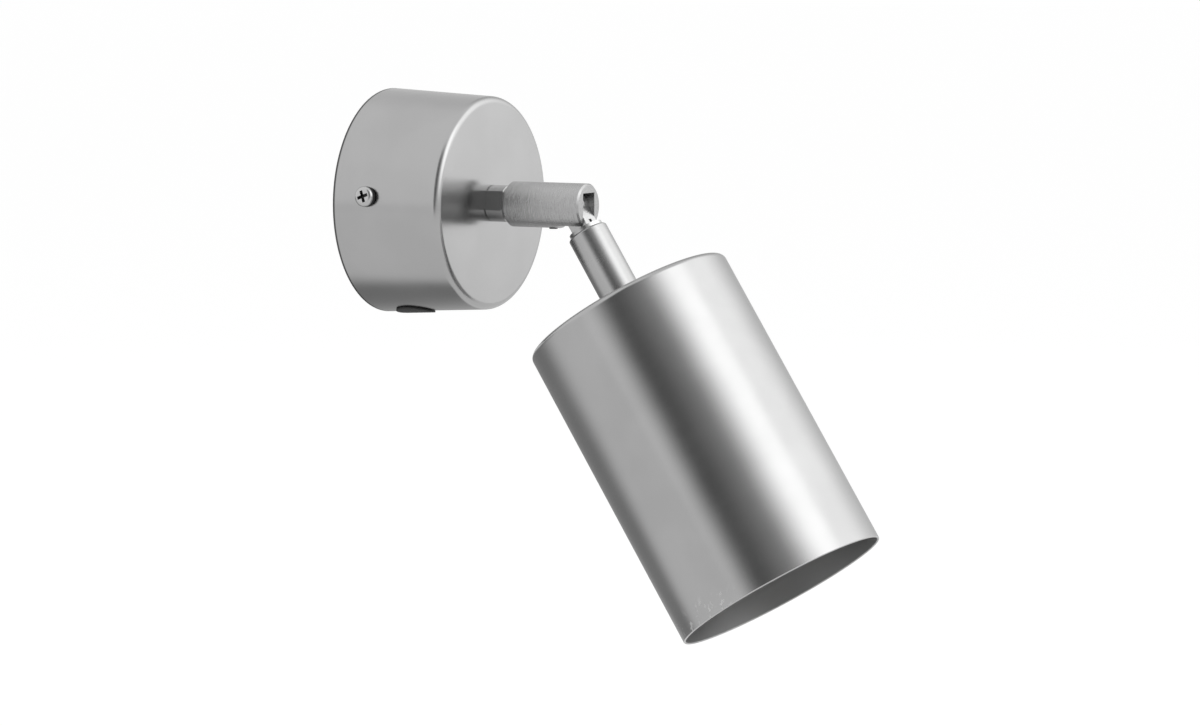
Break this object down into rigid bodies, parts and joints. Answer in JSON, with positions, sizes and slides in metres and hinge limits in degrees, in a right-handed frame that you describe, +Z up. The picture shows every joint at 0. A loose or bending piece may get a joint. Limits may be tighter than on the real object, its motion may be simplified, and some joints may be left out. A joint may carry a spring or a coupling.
{
  "type": "wall light",
  "caption": "Wall light with a round drawn cup, a short swivel arm with a tilting knuckle, and a plain tube shade over a twist-lock reflector lamp.",
  "frame": {"origin": "centre of the flat wall face, on the cup's axis", "axes": "+Z up, the wall is the plane y = 0 and lies on its +Y side, the light stands out along -Y"},
  "size_m": [0.0848, 0.1889, 0.1907],
  "materials": {
    "brushed_nickel": "satin, brushed",
    "turned_nickel": "satin, turned",
    "bright_steel": "bright zinc",
    "dark_steel": "blackened",
    "zinc_steel": "zinc plated",
    "brass": "plain",
    "black_rubber": "matt",
    "white_nylon": "matt",
    "grey_nylon": "matt",
    "white_ceramic": "semi-gloss",
    "white_plastic": "semi-gloss",
    "led_board": "matt",
    "lens_plastic": "frosted",
    "brown_insulation": "matt",
    "blue_insulation": "matt",
    "green_yellow_insulation": "matt"
  },
  "bodies": {
    "base": {"wall_bracket": "zinc_steel", "cable_bush": "black_rubber", "wall_cup": "brushed_nickel", "side_screws": "bright_steel", "entry_grommet": "black_rubber", "swivel_collar": "turned_nickel", "collar_lock_washer": "zinc_steel", "collar_nut": "brass", "terminal_block": "white_nylon", "terminal_sleeves": "brass", "terminal_screws": "bright_steel", "block_screw": "bright_steel", "earth_tag": "brass", "earth_screw": "bright_steel", "base_live_wire": "brown_insulation", "base_neutral_wire": "blue_insulation", "base_earth_wire": "green_yellow_insulation", "swivel_washer": "grey_nylon"},
    "arm": {"arm_barrel": "turned_nickel", "retaining_screw": "dark_steel", "pivot_screw": "bright_steel"},
    "head": {"knuckle_tongue": "turned_nickel", "head_barrel": "turned_nickel", "shade": "brushed_nickel", "shade_washer": "zinc_steel", "shade_lock_washer": "zinc_steel", "shade_nut": "brass", "holder_bracket": "zinc_steel", "lamp_holder": "white_ceramic", "holder_contacts": "brass", "holder_screws": "bright_steel", "head_live_wire": "brown_insulation", "head_neutral_wire": "blue_insulation"},
    "lamp": {"lamp_base": "white_plastic", "lamp_pins": "bright_steel", "lamp_body": "white_plastic", "lamp_board": "led_board", "lamp_lens": "lens_plastic"}
  },
  "joints": [
    {"name": "arm_swivel", "type": "hinge", "parent": "base", "child": "arm", "pos_m": [0, -0.0741, 0], "axis": [0, 1, 0], "range_deg": [-160, 160]},
    {"name": "shade_tilt", "type": "hinge", "parent": "arm", "child": "head", "pos_m": [0, -0.0741, 0], "axis": [1, 0, 0], "range_deg": [-57.6, 32.4]},
    {"name": "lamp_twist", "type": "hinge", "parent": "head", "child": "lamp", "pos_m": [0, -0.0741, 0], "axis": [0, -0.5358, -0.8443], "range_deg": [-25, 0]}
  ]
}
